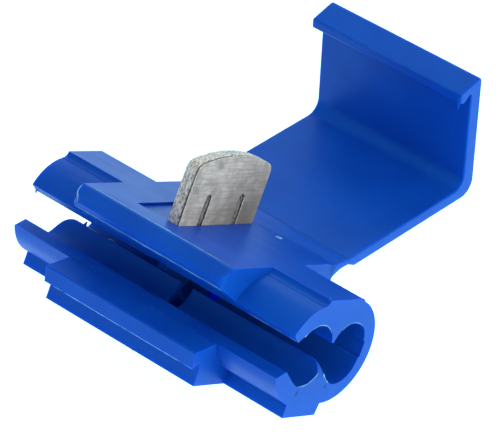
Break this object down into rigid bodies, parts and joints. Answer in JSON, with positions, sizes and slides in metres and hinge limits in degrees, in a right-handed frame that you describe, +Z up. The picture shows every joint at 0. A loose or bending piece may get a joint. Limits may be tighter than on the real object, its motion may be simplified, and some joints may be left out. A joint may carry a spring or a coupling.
{
  "type": "wire tap splice connector",
  "caption": "Quick splice wire connector: one moulding with side by side wire channels, a slotted blade in its top plate and a latching cover on a living hinge.",
  "frame": {"origin": "Centre of the bounding box's underside, as the open connector lies on a table.", "axes": "X runs along the wire channels and points out of the tap channel's open end; Y runs from the housing to the open cover; Z is up."},
  "size_m": [0.024, 0.0302, 0.0133],
  "materials": {
    "moulding": "blue moulded nylon, semi-gloss",
    "blade_metal": "tin-plated brass sheet with sheared edges, dull grey"
  },
  "bodies": {
    "housing": {"housing": "moulding", "living_hinge": "moulding"},
    "cover": {"cover": "moulding"},
    "blade": {"blade": "blade_metal"}
  },
  "joints": [
    {"name": "cover_swing", "type": "hinge", "parent": "housing", "child": "cover", "pos_m": [0, -0.00062, 0.0039], "axis": [1, 0, 0], "range_deg": [0, 154.8], "deforming": ["living_hinge"]},
    {"name": "blade_press", "type": "slide", "parent": "housing", "child": "blade", "axis": [0, -0.6128, -0.7902], "range_m": [0, 0.00505]}
  ],
  "couplings": [
    {"joint": "cover_swing", "follows": "blade_press", "rad_per_m": 535}
  ]
}
